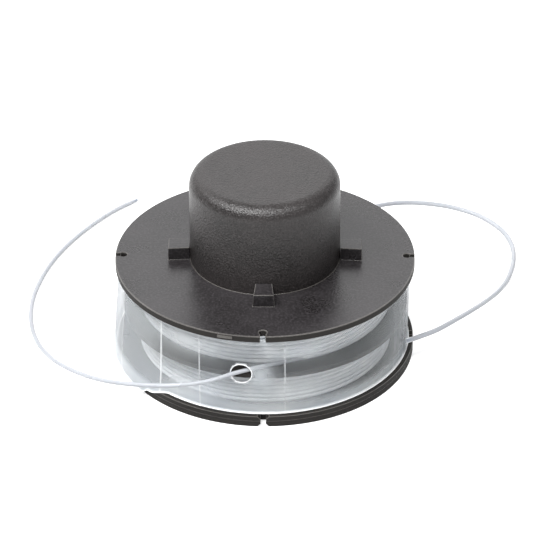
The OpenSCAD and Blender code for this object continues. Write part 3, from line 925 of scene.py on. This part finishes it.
# Darker than the flange plastic: the divider, the lower disc and the foot ring are wholly in it, and on the
# upper disc's upright faces it is painted shade.
dark_rims_and_wall_shade = dark_plastic("dark_rims_and_wall_shade", (0.011, 0.0098, 0.0088), (0.019, 0.017, 0.0155),
                           roughness=0.6, bump=0.25, specular=0.2)
# Lighter plastic on the lower rims' eased edges and on the foot bead, a painted highlight along them; the
# gate mark is in it too.
rim_edge = dark_plastic("rim_edge", (0.055, 0.050, 0.045), (0.08, 0.074, 0.068), roughness=0.35, bump=0.15)
cup_plastic = dark_plastic("cup_plastic", (0.17, 0.175, 0.18), (0.22, 0.225, 0.23), roughness=0.42, bump=0.2)
spring_steel = spring_steel_finish()
clear_line = nylon("clear_line", (0.48, 0.50, 0.53), (0.39, 0.40, 0.44),
                   transmission=0.2, roughness=0.25, cloud_size=18.0)
# Near white: partly the milky look of layered turns, partly painted light that lifts the shade in the bays.
wound_nylon = nylon("wound_line", (0.93, 0.94, 0.95), (0.80, 0.83, 0.86), transmission=0.0, roughness=0.2)
sleeve_film = film_finish()

dress_moulding(hub_plastic, hub_plastic, hub)
# The foot bead's lighter colour is a painted highlight along the hub's foot.
dress(rim_edge, foot_bead, gate_mark)
# Its eased edges are lighter: a painted highlight.
dress_moulding(flange_plastic, edge_highlight, upper_disc)
dress_moulding(dark_rims_and_wall_shade, dark_rims_and_wall_shade, divider)
# Painted shade on the upper disc's upright rim faces.
paint_wall_shade(upper_disc, dark_rims_and_wall_shade, DRUM_R + MM)
# Their eased edges are lighter: a painted highlight.
dress_moulding(dark_rims_and_wall_shade, rim_edge, lower_disc, foot_ring)
dress_moulding(cup_plastic, cup_plastic, cup)
dress_moulding(spring_steel, spring_steel, clip)
dress(spring_steel, spring)
dress(clear_line, front_line, rear_line, upper_tail, lower_tail)
dress(wound_nylon, upper_turns, lower_turns)
dress(sleeve_film, sleeve)


# ---- Floor and light ----

def any_ray(nodes, links, *kinds):
    """1 for rays of any of the kinds, such as those that come straight from the camera."""
    path = nodes.new("ShaderNodeLightPath")
    mask = path.outputs[kinds[0]]
    for kind in kinds[1:]:
        mask = math_node(nodes, links, "MAXIMUM", mask, path.outputs[kind])
    return mask


def add_floor():
    """A pale card, which also glows for the rays that the camera sees, mirrored and refracted ones too."""
    card_grey, glow_strength = 0.6, 0.6
    bpy.ops.mesh.primitive_plane_add(size=4, location=(0, 0, -0.02 * MM))
    floor = bpy.context.object
    floor.name = "floor"
    material, nodes, links, shader, _ = new_material("pale_floor")
    nodes.remove(shader)
    card = nodes.new("ShaderNodeBsdfDiffuse")
    glow = nodes.new("ShaderNodeEmission")
    both = nodes.new("ShaderNodeAddShader")
    card.inputs["Color"].default_value = (card_grey, card_grey, card_grey, 1)
    seen = any_ray(nodes, links, "Is Camera Ray", "Is Glossy Ray", "Is Transmission Ray")
    links.new(math_node(nodes, links, "MULTIPLY", seen, glow_strength), glow.inputs["Strength"])
    links.new(card.outputs[0], both.inputs[0])
    links.new(glow.outputs[0], both.inputs[1])
    links.new(both.outputs[0], nodes["Material Output"].inputs["Surface"])
    dress(material, floor)


def add_lamp(name, towards, distance, size, watts):
    """A rectangular lamp that faces a point inside the spool, in a direction and at a distance from there."""
    aim = Vector((0, 0, 0.02))
    light = bpy.data.lights.new(name, "AREA")
    light.shape = "RECTANGLE"
    light.size, light.size_y = size
    light.energy = watts
    lamp = bpy.data.objects.new(name, light)
    bpy.context.scene.collection.objects.link(lamp)
    back = Vector(towards).normalized()
    lamp.location = aim + back * distance
    lamp.rotation_euler = back.to_track_quat("Z", "Y").to_euler()


def add_world():
    """A dim sky, which is white where the camera looks at it, through clear pieces too."""
    world = bpy.data.worlds.new("studio")
    bpy.context.scene.world = world
    world.use_nodes = True
    nodes, links = world.node_tree.nodes, world.node_tree.links
    soft = nodes["Background"]
    white = nodes.new("ShaderNodeBackground")
    mix = nodes.new("ShaderNodeMixShader")
    soft.inputs["Color"].default_value = (0.95, 0.97, 1, 1)
    soft.inputs["Strength"].default_value = 0.3
    white.inputs["Color"].default_value = (1, 1, 1, 1)
    links.new(any_ray(nodes, links, "Is Camera Ray", "Is Transmission Ray"), mix.inputs["Fac"])
    links.new(soft.outputs[0], mix.inputs[1])
    links.new(white.outputs[0], mix.inputs[2])
    links.new(mix.outputs[0], nodes["World Output"].inputs["Surface"])


add_floor()
add_world()
add_lamp("key", (-0.36, -0.34, 0.86), 0.9, (0.75, 0.22), 12)
add_lamp("strip", (0.16, -0.40, 0.86), 0.9, (0.7, 0.2), 4.5)
add_lamp("right_fill", (0.72, -0.12, 0.68), 1.1, (0.45, 0.3), 0.9)
add_lamp("backdrop", (-0.05, 0.85, 0.53), 1.5, (2.2, 1.1), 12.5)
add_lamp("left_fill", (-0.68, 0.12, 0.72), 1.1, (0.8, 0.6), 3)
bpy.context.scene.view_settings.view_transform = "Standard"
